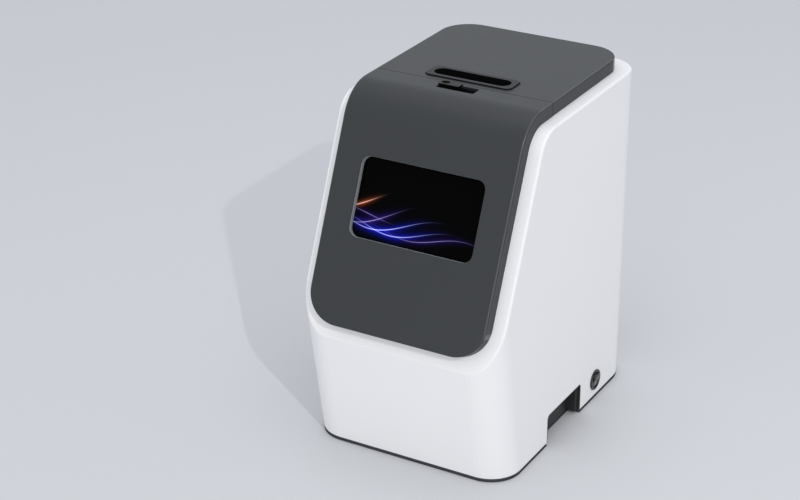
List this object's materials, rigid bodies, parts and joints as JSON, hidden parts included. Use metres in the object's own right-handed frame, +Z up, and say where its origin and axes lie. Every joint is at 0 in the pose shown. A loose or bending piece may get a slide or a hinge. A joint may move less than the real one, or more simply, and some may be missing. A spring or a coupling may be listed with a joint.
{
  "type": "laboratory grinder",
  "caption": "Benchtop bead-beating tissue grinder: white housing, dark sloped display front and hinged lid over a shaken tube rack.",
  "frame": {"origin": "on the surface that the feet stand on, below the middle of the housing", "axes": "+X to the user's right as they face the display, +Y from the display to the back, +Z up"},
  "size_m": [0.286, 0.4089, 0.4624],
  "materials": {
    "white_shell": "satin white moulding",
    "dark_cover": "fine matt charcoal moulding",
    "black_trim": "satin black moulding",
    "insert_grey": "satin dark grey moulding",
    "display_glass": "gloss black cover glass",
    "board": "solder mask",
    "steel": "brushed",
    "bright_steel": "ground and polished",
    "zinc_sheet": "zinc plated sheet",
    "dark_sheet": "fine texture black powder coat",
    "cast_aluminium": "bead blasted casting",
    "machined_aluminium": "anodised",
    "black_aluminium": "black anodised",
    "bronze": "sintered bronze",
    "rubber": "matt rubber",
    "belt": "toothed belt rubber",
    "rack_plastic": "machined pale blue grey plastic",
    "tube": "clear tubes with caps",
    "motor_paint": "satin black"
  },
  "bodies": {
    "housing": {"housing_shell": "white_shell", "base_tray": "black_trim", "rubber_feet": "rubber", "base_screws": "steel", "grip_liner_left": "black_trim", "grip_liner_right": "black_trim", "front_cover": "dark_cover", "display_glass": "display_glass", "display_module": "black_trim", "display_bracket": "zinc_sheet", "display_screws": "steel", "control_board": "board", "latch_guide": "black_trim", "hinge_brackets": "steel", "hinge_pins": "bright_steel", "chamber_liner": "steel", "shaft_seal": "rubber", "deck_plate": "machined_aluminium", "deck_bushing": "bronze", "deck_columns": "bright_steel", "deck_screws": "steel", "guide_rods": "bright_steel", "chassis_plate": "zinc_sheet", "crankcase": "cast_aluminium", "motor": "motor_paint", "motor_bracket": "zinc_sheet", "motor_screws": "steel", "timing_belt": "belt", "power_supply": "zinc_sheet", "switch_bezel": "black_trim", "rear_panel": "dark_sheet", "rear_panel_screws": "steel", "power_inlet": "black_trim", "inlet_contacts": "bright_steel", "fan_frame": "black_trim"},
    "lid": {"lid_shell": "dark_cover", "lid_pull_insert": "black_trim", "lid_inner": "insert_grey", "lid_seal": "rubber", "lid_striker": "steel", "lid_hinge_arms": "steel"},
    "latch": {"latch_slider": "insert_grey"},
    "rocker": {"switch_rocker": "black_trim"},
    "carriage": {"plunger": "bright_steel", "crosshead": "machined_aluminium", "crosshead_bushings": "bronze", "carriage_plate": "machined_aluminium", "tube_rack": "rack_plastic", "sample_tubes": "tube", "clamp_stud": "bright_steel"},
    "clamp": {"clamp_plate": "machined_aluminium", "clamp_pad": "rubber"},
    "knob": {"clamp_knob": "black_trim"},
    "motor_rotor": {"motor_shaft": "bright_steel", "motor_pulley": "machined_aluminium"},
    "crank_drive": {"drive_shaft": "bright_steel", "drive_pulley": "machined_aluminium"},
    "fan": {"fan_impeller": "black_trim"}
  },
  "joints": [
    {"name": "lid_hinge", "type": "hinge", "parent": "housing", "child": "lid", "pos_m": [0, 0.1869, 0.4457], "axis": [-1, 0, 0], "range_deg": [0, 80]},
    {"name": "latch_slide", "type": "slide", "parent": "housing", "child": "latch", "axis": [1, 0, 0], "range_m": [0, 0.024]},
    {"name": "switch_rock", "type": "hinge", "parent": "housing", "child": "rocker", "pos_m": [0.1392, 0.0975, 0.0284], "axis": [0, -1, 0], "range_deg": [0, 30]},
    {"name": "rack_stroke", "type": "slide", "parent": "housing", "child": "carriage", "axis": [0, 0, 1], "range_m": [-0.015, 0.015]},
    {"name": "clamp_lift", "type": "slide", "parent": "carriage", "child": "clamp", "axis": [0, 0, 1], "range_m": [0, 0.006]},
    {"name": "knob_turn", "type": "hinge", "parent": "clamp", "child": "knob", "pos_m": [0, 0.0795, 0.41], "axis": [0, 0, 1], "range_deg": [0, 540]},
    {"name": "motor_spin", "type": "hinge", "parent": "housing", "child": "motor_rotor", "pos_m": [0.06, -0.0565, 0.08], "axis": [1, 0, 0], "continuous": true},
    {"name": "crank_spin", "type": "hinge", "parent": "housing", "child": "crank_drive", "pos_m": [0.06, 0.0795, 0.08], "axis": [1, 0, 0], "continuous": true},
    {"name": "fan_spin", "type": "hinge", "parent": "housing", "child": "fan", "pos_m": [0.04, 0.19, 0.23], "axis": [0, 1, 0], "continuous": true}
  ],
  "couplings": [
    {"joint": "knob_turn", "follows": "clamp_lift", "rad_per_m": 1570.8},
    {"joint": "motor_spin", "follows": "crank_spin", "ratio": 1.5}
  ]
}
